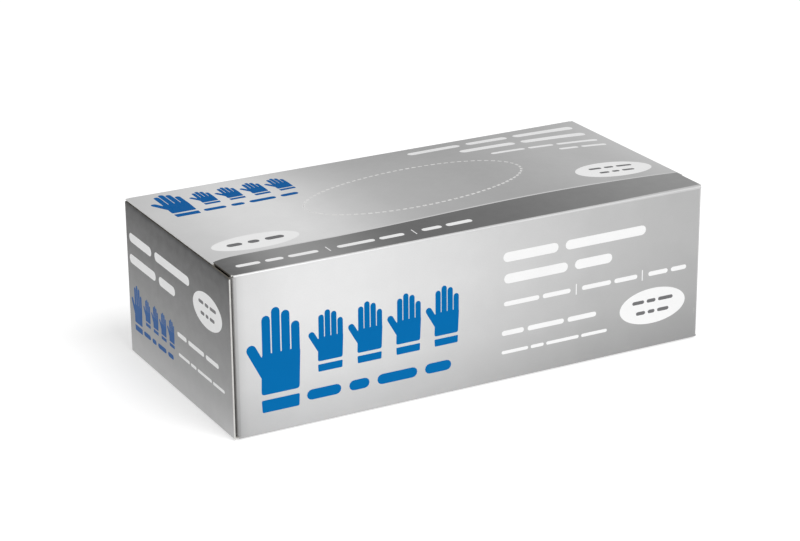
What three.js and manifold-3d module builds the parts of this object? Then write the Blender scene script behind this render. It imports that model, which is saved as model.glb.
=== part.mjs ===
// A carton of one hundred disposable gloves: a glued paperboard box with hinged end flaps and a
// perforated oval in its lid that tears out to leave the dispensing mouth.
// Millimetres, +Z up. The origin is the middle of the footprint: X runs along the carton,
// the front panel faces -Y, and the box stands on z = 0.
import * as THREE from "three";
import { mergeVertices } from "three/addons/utils/BufferGeometryUtils.js";
import Module from "manifold-3d";

const wasm = await Module();
wasm.setup();

// ---- driving dimensions ----
const LENGTH = 240; // end flap face to end flap face
const WIDTH = 115; // front panel to back panel
const HEIGHT = 75; // table to the lid's long creases
const LID_RISE = 3.5; // how far the packed gloves push the lid up
const LID_RISE_X = 44; // where along the carton the lid stands highest
const LID_RISE_REACH = 71; // how far along the carton the swelling spreads
const BOARD = 0.7; // paperboard thickness
const PLY_GAP = 0.3; // air or glue between two boards that lie face to face
const FOLD_RADIUS = 1.3; // outside radius of a long crease
const CREASE = 1; // board left out beside the crease of an outer or inner flap, so that it can turn
const DUST_CREASE = 1.3; // the same beside a dust flap's softer crease
const KERF = 0.3; // width of the cut round the tear-out oval

const OVAL = { x: -0.3, y: 1.1, halfLength: 55.2, halfWidth: 24.6 };
const INNER_FLAP_LENGTH = 34.5; // short enough never to meet the outer flap as both swing out
const INNER_FLAP_TAPER = 2;
const SHOULDER = 18; // from the front crease to where the inner flap's crease begins
const DUST_FLAP_LENGTH = 42;
const DUST_FLAP_TAPER = 21; // how much narrower each edge of a dust flap is at its tip
const DUST_FLAP_MARGIN = 0.5; // how far a dust flap stays clear of the lid and the base
const FLAP_MARGIN = 1.2; // a flap is cut this much short of the edges beside its crease
const RIGHT_FLAP_FRONT_MARGIN = 3; // the right outer flap stays hidden behind the front wall
const OUTER_FLAP_DROP = 1.6; // the outer flap stops this far below the lid, under its crease
const SEAM_FLAP_WIDTH = 18;
const SEAM_FLAP_MARGIN = 4;
const GLUE = 0.1; // film thickness of hot-melt glue
const GLUE_WIDTH = 6;
const GLUE_LENGTH = 76;

const GLOVE_LENGTH = 228;
const GLOVE_WIDTH = 104;
const GLOVE_THICKNESS = 0.27; // two walls of film, pressed flat
const TOP_GLOVES = 10;
const TOP_GLOVE_PITCH = 0.78;
const BUNDLES = 18;
const GLOVES_PER_BUNDLE = 5;
const BUNDLE_PITCH = 3.25;

// ---- places worked out from them ----
const endX = LENGTH / 2;
const sideY = WIDTH / 2;
const ply = BOARD + PLY_GAP; // from one board's outside to the next board's outside
const innerFlapInset = ply; // the inner flap's outside, measured in from the end
const dustFlapInset = 2 * ply;
const lidHalfLength = endX - innerFlapInset - CREASE - PLY_GAP;
const creaseY = sideY - FOLD_RADIUS; // where the lid's flat board starts to bend down
const lidHalfWidth = creaseY - PLY_GAP;
const shoulderY = -sideY + SHOULDER;
const stackFloor = 2 * BOARD + 2 * PLY_GAP + GLUE; // just above the seam flap

// ---- finishes ----
const finish = (color, roughness, metalness = 0) => {
  return new THREE.MeshStandardMaterial({ color, roughness, metalness });
};
const printedBoard = () => finish(0xb4b6b8, 0.38, 0.35);
const rawBoard = () => finish(0xd9d3c6, 0.9);
const hotMelt = () => finish(0xe6dcae, 0.45);
const gloveFilm = () => finish(0x1d1f22, 0.6);

const part = new THREE.Group();

function add(name, geometry, material) {
  const mesh = new THREE.Mesh(geometry, material);
  mesh.name = name;
  part.add(mesh);
  return mesh;
}

// ---- shapes ----

// A box between its lowest and highest corners.
function block(low, high) {
  const size = low.map((value, i) => high[i] - value);
  const middle = low.map((value, i) => (high[i] + value) / 2);
  return new THREE.BoxGeometry(...size).translate(...middle);
}

// A closed outline from a list of [across, up] corners.
function outline(corners) {
  return new THREE.Shape(corners.map(([u, v]) => new THREE.Vector2(u, v)));
}

function solidOf(geometry) {
  const bare = geometry.clone().deleteAttribute("normal").deleteAttribute("uv");
  const merged = mergeVertices(bare);
  const vertProperties = merged.attributes.position.array;
  const triVerts = new Uint32Array(merged.index.array);
  return new wasm.Manifold(new wasm.Mesh({ numProp: 3, vertProperties, triVerts }));
}

// Two overlapping closed geometries joined into one.
function joined(first, second) {
  const mesh = solidOf(first).add(solidOf(second)).getMesh();
  const geometry = new THREE.BufferGeometry();
  geometry.setAttribute("position", new THREE.BufferAttribute(mesh.vertProperties, 3));
  geometry.setIndex(new THREE.BufferAttribute(mesh.triVerts, 1));
  return geometry.toNonIndexed();
}

// An outline drawn in Y and Z, made solid along X from fromX to toX.
function extrudeAlongX(shape, fromX, toX) {
  const solid = new THREE.ExtrudeGeometry(shape, {
    depth: toX - fromX,
    bevelEnabled: false,
    curveSegments: 4,
  });
  const yzx = new THREE.Matrix4().makeBasis(
    new THREE.Vector3(0, 1, 0),
    new THREE.Vector3(0, 0, 1),
    new THREE.Vector3(1, 0, 0),
  );
  return solid.applyMatrix4(yzx).translate(fromX, 0, 0);
}

// How far the lid stands above its creases at a place.
function lidRise(x, y) {
  const swelling = Math.exp(-(((x - LID_RISE_X) / LID_RISE_REACH) ** 2));
  const alongLid = swelling * (1 - (x / lidHalfLength) ** 10);
  const acrossLid = 1 - (y / creaseY) ** 2;
  return LID_RISE * alongLid * acrossLid;
}

// Board curved like the lid, between two closed loops of [x, y] points with the same count.
// With a single point for its inner loop it is a whole disc, and otherwise it is a ring.
function curvedBoard(innerLoop, outerLoop, rings) {
  const count = outerLoop.length;
  const whole = innerLoop.length === 1;
  const loops = [];
  for (let r = whole ? 1 : 0; r <= rings; r++) {
    const share = r / rings;
    loops.push(
      outerLoop.map(([x, y], i) => {
        const [fromX, fromY] = innerLoop[whole ? 0 : i];
        return [fromX + (x - fromX) * share, fromY + (y - fromY) * share];
      }),
    );
  }
  const positions = [];
  const addPoint = ([x, y], drop) => positions.push(x, y, HEIGHT + lidRise(x, y) - drop);
  loops.forEach((loop) => loop.forEach((point) => addPoint(point, 0)));
  loops.forEach((loop) => loop.forEach((point) => addPoint(point, BOARD)));
  const topOf = (r, i) => r * count + (i % count);
  const underOf = (r, i) => loops.length * count + topOf(r, i);

  const triangles = [];
  const quad = (a, b, c, d) => triangles.push(a, b, c, a, c, d);
  for (let i = 0; i < count; i++) {
    for (let r = 0; r + 1 < loops.length; r++) {
      quad(topOf(r, i), topOf(r + 1, i), topOf(r + 1, i + 1), topOf(r, i + 1));
      quad(underOf(r, i), underOf(r, i + 1), underOf(r + 1, i + 1), underOf(r + 1, i));
    }
    const rim = loops.length - 1;
    quad(topOf(rim, i), underOf(rim, i), underOf(rim, i + 1), topOf(rim, i + 1));
    if (!whole) quad(topOf(0, i), topOf(0, i + 1), underOf(0, i + 1), underOf(0, i));
  }
  if (whole) {
    const topMiddle = positions.length / 3;
    addPoint(innerLoop[0], 0);
    addPoint(innerLoop[0], BOARD);
    for (let i = 0; i < count; i++) {
      triangles.push(topMiddle, topOf(0, i), topOf(0, i + 1));
      triangles.push(topMiddle + 1, underOf(0, i + 1), underOf(0, i));
    }
  }
  const board = new THREE.BufferGeometry();
  board.setAttribute("position", new THREE.Float32BufferAttribute(positions, 3));
  board.setIndex(triangles);
  board.computeVertexNormals();
  return board;
}

// ---- the lid and its tear-out ----

const LID_STEP = 11; // longest straight step round the lid's outline

// The lid's outline, anticlockwise seen from above, with every edge cut into short steps.
function lidOutline() {
  const corners = [
    [lidHalfLength, -lidHalfWidth],
    [lidHalfLength, lidHalfWidth],
    [-lidHalfLength, lidHalfWidth],
    [-lidHalfLength, -lidHalfWidth],
  ];
  return corners.flatMap(([x, y], i) => {
    const [nextX, nextY] = corners[(i + 1) % corners.length];
    const steps = Math.ceil(Math.hypot(nextX - x, nextY - y) / LID_STEP);
    return Array.from({ length: steps }, (_, step) => {
      return [x + ((nextX - x) * step) / steps, y + ((nextY - y) * step) / steps];
    });
  });
}

// A point of the oval's cut for every point of the lid's outline, in the same direction.
function ovalLoop(clearance) {
  const halfLength = OVAL.halfLength - clearance;
  const halfWidth = OVAL.halfWidth - clearance;
  return lidOutline().map(([x, y]) => {
    const angle = Math.atan2((y - OVAL.y) / OVAL.halfWidth, (x - OVAL.x) / OVAL.halfLength);
    return [OVAL.x + halfLength * Math.cos(angle), OVAL.y + halfWidth * Math.sin(angle)];
  });
}

function addLid() {
  add("top_panel", curvedBoard(ovalLoop(0), lidOutline(), 5), printedBoard());
  add("tear_out_oval", curvedBoard([[OVAL.x, OVAL.y]], ovalLoop(KERF), 4), printedBoard());
}

// ---- the walls and the base ----

// A wall's section: upright board that turns through a quarter circle at its top and its bottom.
// It is drawn for the front wall, whose outside faces -Y.
function wallSection(lowZ, highZ) {
  const outside = -sideY;
  const inside = outside + BOARD;
  const centreY = outside + FOLD_RADIUS;
  const bend = FOLD_RADIUS - BOARD;
  const section = new THREE.Shape();
  section.moveTo(centreY, lowZ);
  section.absarc(centreY, lowZ + FOLD_RADIUS, FOLD_RADIUS, -Math.PI / 2, -Math.PI, true);
  section.lineTo(outside, highZ - FOLD_RADIUS);
  section.absarc(centreY, highZ - FOLD_RADIUS, FOLD_RADIUS, Math.PI, Math.PI / 2, true);
  section.lineTo(centreY, highZ - BOARD);
  section.absarc(centreY, highZ - FOLD_RADIUS, bend, Math.PI / 2, Math.PI, false);
  section.lineTo(inside, lowZ + FOLD_RADIUS);
  section.absarc(centreY, lowZ + FOLD_RADIUS, bend, Math.PI, Math.PI * 1.5, false);
  section.closePath();
  return section;
}

function addWalls() {
  const wallEnd = endX - dustFlapInset - DUST_CREASE - PLY_GAP;
  add("front_panel", extrudeAlongX(wallSection(0, HEIGHT), -wallEnd, wallEnd), printedBoard());
  const back = extrudeAlongX(wallSection(ply, HEIGHT), -wallEnd, wallEnd).rotateZ(Math.PI);
  add("back_panel", back, printedBoard());

  const baseEnd = endX - CREASE - PLY_GAP;
  const baseFront = -sideY + FOLD_RADIUS + PLY_GAP;
  const baseBack = sideY - PLY_GAP;
  add("bottom_panel", block([-baseEnd, baseFront, 0], [baseEnd, baseBack, BOARD]), printedBoard());
}

// The narrow flap folded in from the back wall, and the glue that holds the base to it.
function addSeam() {
  const seamEnd = endX - dustFlapInset - SEAM_FLAP_MARGIN;
  const seamBack = sideY - FOLD_RADIUS - PLY_GAP;
  const seamFront = seamBack - SEAM_FLAP_WIDTH;
  const flap = block([-seamEnd, seamFront, ply], [seamEnd, seamBack, ply + BOARD]);
  add("seam_flap", flap, rawBoard());
  const middle = (seamFront + seamBack) / 2;
  const glueBase = BOARD + (PLY_GAP - GLUE) / 2;
  const glue = block(
    [-seamEnd + SEAM_FLAP_MARGIN, middle - GLUE_WIDTH, glueBase],
    [seamEnd - SEAM_FLAP_MARGIN, middle + GLUE_WIDTH, glueBase + GLUE],
  );
  add("seam_glue", glue, hotMelt());
}

// ---- the ends ----

const CREASE_LAP = 0.5; // how far a crease's bent board runs into its flap, to join it

// The bent board of a crease, drawn with its outer corner at the origin: across is the way into the
// carton along the panel that the flap hangs on, and up is the way along the flap.
function creaseSection(radius) {
  const inside = radius - BOARD;
  const section = new THREE.Shape();
  section.moveTo(radius, 0);
  section.lineTo(radius, BOARD);
  section.absarc(radius, radius, inside, -Math.PI / 2, -Math.PI, true);
  section.lineTo(BOARD, radius + CREASE_LAP);
  section.lineTo(0, radius + CREASE_LAP);
  section.lineTo(0, radius);
  section.absarc(radius, radius, radius, Math.PI, Math.PI * 1.5, false);
  return section;
}

// A flap and the crease it hangs on. Corner is a point on the crease's outer corner line, inward
// points into the carton along the parent panel and along points down the flap. The outline's
// corners are [place along the crease line, distance from the corner].
function addFlap(name, material, { corner, inward, along, radius, corners }) {
  const creaseLine = new THREE.Vector3().crossVectors(inward, along);
  const places = corners.map(([place]) => place);
  const from = Math.min(places[0], places[1]);
  const to = Math.max(places[0], places[1]);
  const bend = new THREE.ExtrudeGeometry(creaseSection(radius), {
    depth: to - from,
    bevelEnabled: false,
    curveSegments: 4,
  });
  bend.translate(0, 0, from);
  const plate = new THREE.ExtrudeGeometry(outline(corners), { depth: BOARD, bevelEnabled: false });
  const lieAcross = new THREE.Matrix4().makeBasis(
    new THREE.Vector3(0, 0, 1),
    new THREE.Vector3(0, 1, 0),
    new THREE.Vector3(-1, 0, 0),
  );
  plate.applyMatrix4(lieAcross).translate(BOARD, 0, 0);
  const toPlace = new THREE.Matrix4().makeBasis(inward, along, creaseLine).setPosition(corner);
  add(name, joined(bend, plate).applyMatrix4(toPlace), material);
}

// The end closure: outer flap creased to the base, inner flap creased to the lid, and a dust flap
// creased to each wall. Side is -1 for the left end and +1 for the right one.
function addEnd(name, side) {
  const inward = new THREE.Vector3(-side, 0, 0);
  const up = new THREE.Vector3(0, 0, 1);
  const down = new THREE.Vector3(0, 0, -1);
  const flapSide = sideY - FLAP_MARGIN;

  const cutEdge = HEIGHT - OUTER_FLAP_DROP;
  const frontEdge = side > 0 ? sideY - RIGHT_FLAP_FRONT_MARGIN : flapSide;
  const outerLine = side; // its crease line runs towards +Y at the right end, and -Y at the left
  addFlap(`${name}_outer_flap`, printedBoard(), {
    corner: new THREE.Vector3(side * endX, 0, 0),
    inward,
    along: up,
    radius: CREASE,
    corners: [
      [-frontEdge * outerLine, CREASE],
      [flapSide * outerLine, CREASE],
      [flapSide * outerLine, cutEdge],
      [-frontEdge * outerLine, cutEdge],
    ],
  });

  const innerLine = -side; // its crease line runs towards -Y at the right end, and +Y at the left
  addFlap(`${name}_inner_flap`, rawBoard(), {
    corner: new THREE.Vector3(side * (endX - innerFlapInset), 0, HEIGHT),
    inward,
    along: down,
    radius: CREASE,
    corners: [
      [shoulderY * innerLine, CREASE],
      [flapSide * innerLine, CREASE],
      [(flapSide - INNER_FLAP_TAPER) * innerLine, INNER_FLAP_LENGTH],
      [(shoulderY + INNER_FLAP_TAPER) * innerLine, INNER_FLAP_LENGTH],
    ],
  });

  for (const [wall, facing] of [["front", -1], ["back", 1]]) {
    const dustLine = side * facing; // up or down the wall's end
    const low = ply + DUST_FLAP_MARGIN;
    const high = HEIGHT - BOARD - DUST_FLAP_MARGIN;
    addFlap(`${name}_${wall}_dust_flap`, rawBoard(), {
      corner: new THREE.Vector3(side * (endX - dustFlapInset), facing * sideY, 0),
      inward,
      along: new THREE.Vector3(0, -facing, 0),
      radius: DUST_CREASE,
      corners: [
        [low * dustLine, DUST_CREASE],
        [high * dustLine, DUST_CREASE],
        [(high - DUST_FLAP_TAPER) * dustLine, DUST_FLAP_LENGTH],
        [(low + DUST_FLAP_TAPER) * dustLine, DUST_FLAP_LENGTH],
      ],
    });
  }
  addEndGlue(name, side);
}

// Two strips of glue between the inner flap and the outer one.
function addEndGlue(name, side) {
  const inset = BOARD + (PLY_GAP - GLUE) / 2;
  const middleY = (shoulderY + sideY - FLAP_MARGIN) / 2;
  for (const [level, share] of [["upper", 0.3], ["lower", 0.75]]) {
    const middleZ = HEIGHT - INNER_FLAP_LENGTH * share;
    const outside = side * (endX - inset);
    const inside = side * (endX - inset - GLUE);
    const strip = block(
      [Math.min(outside, inside), middleY - GLUE_LENGTH / 2, middleZ - GLUE_WIDTH / 2],
      [Math.max(outside, inside), middleY + GLUE_LENGTH / 2, middleZ + GLUE_WIDTH / 2],
    );
    add(`${name}_${level}_glue`, strip, hotMelt());
  }
}

// ---- the gloves ----

// A flat glove seen from above, its cuff at -X and its fingers at +X, thumb on the -Y side.
function gloveOutline() {
  const glove = new THREE.Shape();
  const cuffX = -GLOVE_LENGTH / 2;
  const cuffHalf = GLOVE_WIDTH * 0.4;
  const palmHalf = GLOVE_WIDTH * 0.42;
  const thumbHalf = GLOVE_WIDTH * 0.11;
  const knuckleX = GLOVE_LENGTH * 0.14;
  const thumbRootX = -GLOVE_LENGTH * 0.12;
  const thumbTipX = GLOVE_LENGTH * 0.12;
  const thumbY = -GLOVE_WIDTH / 2 + thumbHalf;
  const palmShift = GLOVE_WIDTH / 2 - palmHalf; // the palm is set away from the thumb
  glove.moveTo(cuffX, palmShift + cuffHalf);
  glove.lineTo(cuffX, palmShift - cuffHalf);
  glove.lineTo(thumbRootX, thumbY - thumbHalf);
  glove.absarc(thumbTipX, thumbY, thumbHalf, -Math.PI / 2, Math.PI / 2, false);
  glove.lineTo(thumbTipX - thumbHalf, palmShift - palmHalf + thumbHalf);
  const fingerReach = [0.43, 0.5, 0.47, 0.38]; // tip of each finger from the glove's middle
  const fingerPitch = (2 * palmHalf - thumbHalf) / fingerReach.length;
  const fingerHalf = fingerPitch * 0.46;
  fingerReach.forEach((reach, i) => {
    const y = palmShift - palmHalf + thumbHalf + fingerPitch * (i + 0.5);
    const tipX = GLOVE_LENGTH * reach - fingerHalf;
    glove.lineTo(knuckleX, y - fingerHalf);
    glove.absarc(tipX, y, fingerHalf, -Math.PI / 2, Math.PI / 2, false);
    glove.lineTo(knuckleX, y + fingerHalf);
  });
  glove.closePath();
  return glove;
}

// Gloves are packed flat, with the cuffs to the left and to the right by turns.
function addGlove(name, baseZ, thickness, cuffRight) {
  const film = new THREE.ExtrudeGeometry(gloveOutline(), {
    depth: thickness,
    bevelEnabled: false,
    curveSegments: 5,
  });
  if (cuffRight) film.rotateZ(Math.PI);
  add(name, film.translate(0, 0, baseZ), gloveFilm());
}

function addGloves() {
  const number = (n) => String(n).padStart(2, "0");
  for (let n = 0; n < BUNDLES; n++) {
    const thickness = GLOVE_THICKNESS * GLOVES_PER_BUNDLE;
    addGlove(`glove_bundle_${number(n + 1)}`, stackFloor + BUNDLE_PITCH * n, thickness, n % 2 === 1);
  }
  const topFloor = stackFloor + BUNDLE_PITCH * BUNDLES;
  for (let n = 0; n < TOP_GLOVES; n++) {
    addGlove(`glove_${number(n + 1)}`, topFloor + TOP_GLOVE_PITCH * n, GLOVE_THICKNESS, n % 2 === 1);
  }
}

addLid();
addWalls();
addSeam();
addEnd("left", -1);
addEnd("right", 1);
addGloves();

export default part;
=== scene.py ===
"""The looks of a dispenser carton for one hundred gloves: a printed, creased and glued paperboard
box whose lid holds a perforated tear-out oval, with the stack of black gloves inside it.

Lengths in the code are millimetres, and become metres only where Blender is given them. A piece of
board is drawn flat, as it is printed and cut, and then folded into its place."""

import math
import random

import bpy
import numpy as np
from mathutils import Matrix, Vector, noise
from mathutils.geometry import delaunay_2d_cdt


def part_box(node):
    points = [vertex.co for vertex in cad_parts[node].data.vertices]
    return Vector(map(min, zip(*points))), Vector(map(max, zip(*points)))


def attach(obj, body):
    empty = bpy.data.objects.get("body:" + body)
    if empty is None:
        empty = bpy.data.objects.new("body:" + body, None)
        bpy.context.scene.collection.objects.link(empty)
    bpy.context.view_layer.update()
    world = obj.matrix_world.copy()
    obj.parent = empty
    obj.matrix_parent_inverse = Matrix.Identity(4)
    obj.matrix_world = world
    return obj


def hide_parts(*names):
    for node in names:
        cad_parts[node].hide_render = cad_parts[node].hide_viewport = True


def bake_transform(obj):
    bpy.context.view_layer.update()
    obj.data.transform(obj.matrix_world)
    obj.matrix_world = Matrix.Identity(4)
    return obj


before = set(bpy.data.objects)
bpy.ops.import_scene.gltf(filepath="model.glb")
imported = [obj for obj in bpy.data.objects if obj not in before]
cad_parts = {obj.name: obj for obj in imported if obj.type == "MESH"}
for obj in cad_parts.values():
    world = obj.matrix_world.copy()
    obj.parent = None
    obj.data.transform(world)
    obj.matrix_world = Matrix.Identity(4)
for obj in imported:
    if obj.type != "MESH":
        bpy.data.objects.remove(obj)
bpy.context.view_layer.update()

MM = 0.001


def corners_of(node):
    """The lowest and the highest corner of a CAD node's box, in millimetres."""
    low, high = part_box(node)
    return Vector(low) / MM, Vector(high) / MM


# ---- the carton's dimensions ----

END_X = corners_of("right_outer_flap")[1].x
SIDE_Y = -corners_of("front_panel")[0].y
HEIGHT = corners_of("front_panel")[1].z
BOARD = corners_of("bottom_panel")[1].z
PLY = corners_of("seam_flap")[0].z
FOLD_RADIUS = 1.3
CREASE = 1.0
DUST_CREASE = 1.3
FLAP_MARGIN = 1.2
FLUSH = 0.5  # how much nearer to the front wall's face the left end's outer flap comes
TUCKED = 1.2  # the right end's outer flap stays this much further behind the front wall
DUST_DEPTH = 2 * PLY - 0.25  # from the end's face to the dust flaps, which lean on the inner flap
OUTER_TOP = HEIGHT - 1.0  # the outer flap's edge, under the bead of the lid's end crease
LID_RISE = 3.5
LID_RISE_X = 44
LID_RISE_REACH = 71
LID_HALF = corners_of("top_panel")[1].x
CREASE_Y = SIDE_Y - FOLD_RADIUS
SHOULDER_Y = corners_of("left_inner_flap")[0].y
DUST_LOW = corners_of("left_front_dust_flap")[0].z
DUST_HIGH = corners_of("left_front_dust_flap")[1].z
OVAL_CENTRE = (-0.3, 1.1)
OVAL_HALF = (55.05, 24.45)
OUT, BACK, UP = Vector((1, 0, 0)), Vector((0, 1, 0)), Vector((0, 0, 1))
BEND_STEPS = 8


# ---- flat shapes: lists of (across, up) points, anticlockwise ----


def arc_points(centre, radii, start, end, steps):
    """Points on part of an ellipse, from one angle to another, in degrees."""
    angles = np.radians(np.linspace(start, end, steps + 1))
    return [(centre[0] + radii[0] * math.cos(a), centre[1] + radii[1] * math.sin(a)) for a in angles]


def ellipse(centre, half_length, half_width, steps=56):
    return arc_points(centre, (half_length, half_width), 0, 360, steps)[:-1]


def capsule(start, end, radius, steps=6):
    """A straight stroke with round ends."""
    turn = math.degrees(math.atan2(end[1] - start[1], end[0] - start[0]))
    radii = (radius, radius)
    tip = arc_points(end, radii, turn - 90, turn + 90, steps)
    return tip + arc_points(start, radii, turn + 90, turn + 270, steps)


def rectangle(left, right, low, high):
    return [(left, low), (right, low), (right, high), (left, high)]


def rounded(corners, radius, steps=4):
    """A closed outline whose corners are rounded off."""
    points = []
    for i, corner in enumerate(corners):
        here = Vector(corner)
        before = (Vector(corners[i - 1]) - here).normalized()
        after = (Vector(corners[(i + 1) % len(corners)]) - here).normalized()
        cut = radius[i] if isinstance(radius, (list, tuple)) else radius
        if cut <= 0:
            points.append(tuple(here))
            continue
        first, last = here + before * cut, here + after * cut
        for step in range(steps + 1):
            share = step / steps
            bent = first.lerp(here, share).lerp(here.lerp(last, share), share)
            points.append(tuple(bent))
    return points


def stepped(loop, longest):
    """The same closed outline with its long edges cut into short steps."""
    points = []
    for here, after in zip(loop, loop[1:] + loop[:1]):
        steps = max(1, math.ceil(math.dist(here, after) / longest))
        for i in range(steps):
            share = i / steps
            points.append((here[0] + (after[0] - here[0]) * share, here[1] + (after[1] - here[1]) * share))
    return points


# ---- where a flat board goes ----


class Folded:
    """A board that stands flat between two rounded bends. A point (across, up) of the flat pattern
    is measured along the board's outside, so that up runs on round the bends."""

    def __init__(self, corner, inward, along, low=0.0, low_radius=0.0, high=None, high_radius=0.0):
        self.corner = np.array(corner)
        self.inward = np.array(inward)
        self.along = np.array(along)
        self.across = np.cross(self.inward, self.along)
        self.low, self.low_radius = low, low_radius
        self.high, self.high_radius = high, high_radius

    def start(self):
        """Where the pattern's lower bend begins, measured up the board."""
        return self.low + self.low_radius * (1 - math.pi / 2)

    def end(self):
        """Where the pattern's upper bend ends."""
        return self.high - self.high_radius * (1 - math.pi / 2)

    def bend_lines(self):
        """The heights at which a bend needs its own row of points."""
        lines = []
        if self.low_radius:
            lines += list(np.linspace(self.start(), self.low + self.low_radius, BEND_STEPS + 1))
        if self.high_radius:
            lines += list(np.linspace(self.high - self.high_radius, self.end(), BEND_STEPS + 1))
        return lines

    def place(self, points):
        """The outside points and the outward directions of the pattern's points."""
        u, t = points[:, 0], points[:, 1]
        depth = np.zeros(len(u))
        rise = t.copy()
        turn = np.zeros(len(u))
        if self.low_radius:
            r = self.low_radius
            angle = np.clip((self.low + r - t) / r, 0, math.pi / 2)
            bent = angle > 0
            depth = np.where(bent, r * (1 - np.cos(angle)), depth)
            rise = np.where(bent, self.low + r * (1 - np.sin(angle)), rise)
            turn = -angle
        if self.high_radius:
            r = self.high_radius
            angle = np.clip((t - self.high + r) / r, 0, math.pi / 2)
            bent = angle > 0
            depth = np.where(bent, r * (1 - np.cos(angle)), depth)
            rise = np.where(bent, self.high - r * (1 - np.sin(angle)), rise)
            turn = turn + angle
        outside = (
            self.corner
            + np.outer(u, self.across)
            + np.outer(rise, self.along)
            + np.outer(depth, self.inward)
        )
        facing = np.outer(-np.cos(turn), self.inward) + np.outer(np.sin(turn), self.along)
        return outside, facing


class Beaded(Folded):
    """The lid's end crease bulges out in a bead above the outer flap's edge, and the flap that hangs
    from it steps back in behind that flap."""

    step_start, step_length = 0.2, 1.2

    def bend_lines(self):
        lines = np.linspace(self.step_start, self.step_start + self.step_length, BEND_STEPS + 1)
        return sorted(super().bend_lines() + list(lines))

    def place(self, points):
        outside, facing = super().place(points)
        share = np.clip((points[:, 1] - self.step_start) / self.step_length, 0, 1)
        slope = PLY * 6 * share * (1 - share) / self.step_length
        outside = outside + np.outer(PLY * share * share * (3 - 2 * share), self.inward)
        facing = facing + np.outer(slope, self.along)
        facing /= np.linalg.norm(facing, axis=1)[:, None]
        return outside, facing


class Swollen:
    """The lid: flat where it is creased, and pushed up in between by the gloves under it."""

    def bend_lines(self):
        return []

    def height(self, x, y):
        swelling = np.exp(-(((x - LID_RISE_X) / LID_RISE_REACH) ** 2))
        along_lid = swelling * np.maximum(0, 1 - (x / LID_HALF) ** 10)
        return HEIGHT + LID_RISE * along_lid * (1 - (y / CREASE_Y) ** 2)

    def place(self, points):
        x, y = points[:, 0], points[:, 1]
        step = 0.05
        slope_x = (self.height(x + step, y) - self.height(x - step, y)) / (2 * step)
        slope_y = (self.height(x, y + step) - self.height(x, y - step)) / (2 * step)
        facing = np.stack([-slope_x, -slope_y, np.ones(len(x))], axis=1)
        facing /= np.linalg.norm(facing, axis=1)[:, None]
        return np.stack([x, y, self.height(x, y)], axis=1), facing


# ---- folding a flat board into a closed sheet with thickness ----


def turning(loop):
    """Twice a loop's area, positive where it runs anticlockwise."""
    return sum(a[0] * b[1] - b[0] * a[1] for a, b in zip(loop, loop[1:] + loop[:1]))


def triangulate(outline, holes, shapes, lines, grid):
    """Triangles of the board inside its outline, each with the numbers of the shapes it lies in."""
    points, edges, faces = [], [], []

    def add_loop(loop):
        if turning(loop) < 0:
            loop = loop[::-1]
        first = len(points)
        points.extend(Vector(p) for p in loop)
        faces.append(list(range(first, len(points))))

    for loop in [outline, *holes, *shapes]:
        add_loop(loop)
    across = [p[0] for p in outline]
    for line in lines:
        edges.append((len(points), len(points) + 1))
        points.extend([Vector((min(across) - 1, line)), Vector((max(across) + 1, line))])
    points.extend(Vector(p) for p in grid)
    flat, _, triangles, _, _, inside = delaunay_2d_cdt(points, edges, faces, 0, 1e-5, True)
    kept, within = [], []
    for triangle, found in zip(triangles, inside):
        found = set(found)
        if 0 in found and not any(h in found for h in range(1, 1 + len(holes))):
            kept.append(triangle)
            within.append({f - 1 - len(holes) for f in found if f > len(holes)})
    used = sorted({v for triangle in kept for v in triangle})
    number = {v: i for i, v in enumerate(used)}
    triangles = [tuple(number[v] for v in triangle) for triangle in kept]
    return np.array([flat[v][:] for v in used]), triangles, within


def placed(name, data):
    """An object in the scene, made from a mesh, a lamp or a camera."""
    made = bpy.data.objects.new(name, data)
    bpy.context.scene.collection.objects.link(made)
    return made


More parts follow.
